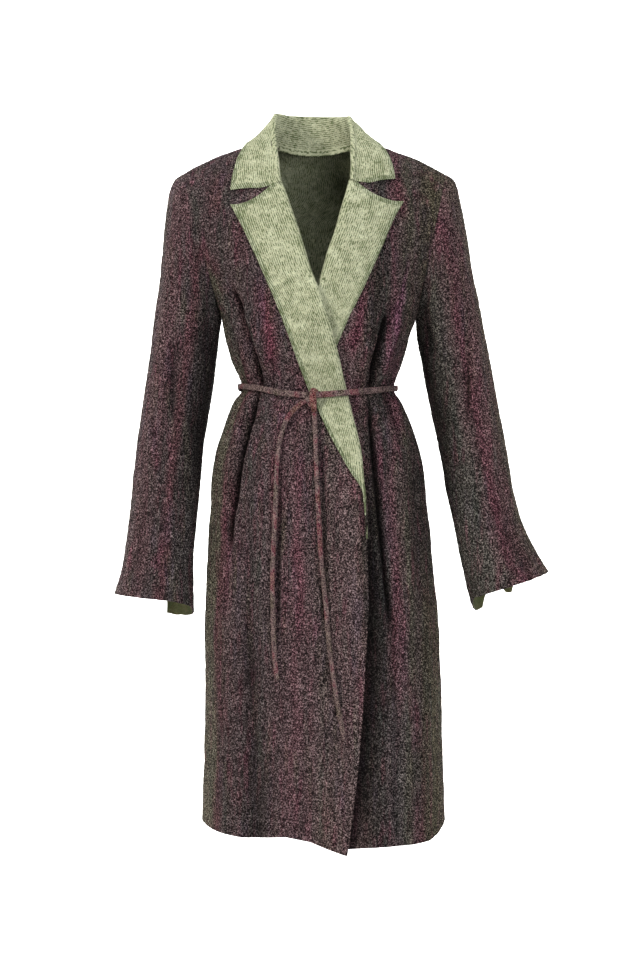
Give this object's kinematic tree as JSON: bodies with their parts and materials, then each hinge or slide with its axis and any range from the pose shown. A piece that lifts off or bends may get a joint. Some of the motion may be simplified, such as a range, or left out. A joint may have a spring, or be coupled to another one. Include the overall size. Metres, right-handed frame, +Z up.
{
  "type": "wrap coat",
  "caption": "Knee-length wrap duster coat in double-faced tweed, with notch lapels that turn to the lighter reverse, flared cuffs and a narrow tie belt, in its worn form.",
  "frame": {"origin": "between the shoulders, level with the neck points, where the wearer's shoulders hold the coat", "axes": "+Z up, -Y to the front of the coat, +X to the wearer's left"},
  "size_m": [0.623, 0.2863, 1.0598],
  "materials": {
    "tweed_face": "brushed wool tweed, dark plum and charcoal with blurred lengthwise stripes",
    "green_reverse": "brushed wool, pale sage green with darker flecks",
    "tie_belt_cloth": "the tweed face, sewn into a narrow tube"
  },
  "bodies": {
    "root": {"back": "tweed_face", "front_right": "tweed_face", "front_left": "tweed_face", "sleeve_right": "tweed_face", "sleeve_left": "tweed_face", "lapel_right": "green_reverse", "lapel_left": "green_reverse", "collar": "green_reverse", "belt": "tie_belt_cloth", "belt_knot": "tie_belt_cloth", "belt_tail_right": "tie_belt_cloth", "belt_tail_left": "tie_belt_cloth"}
  },
  "joints": []
}
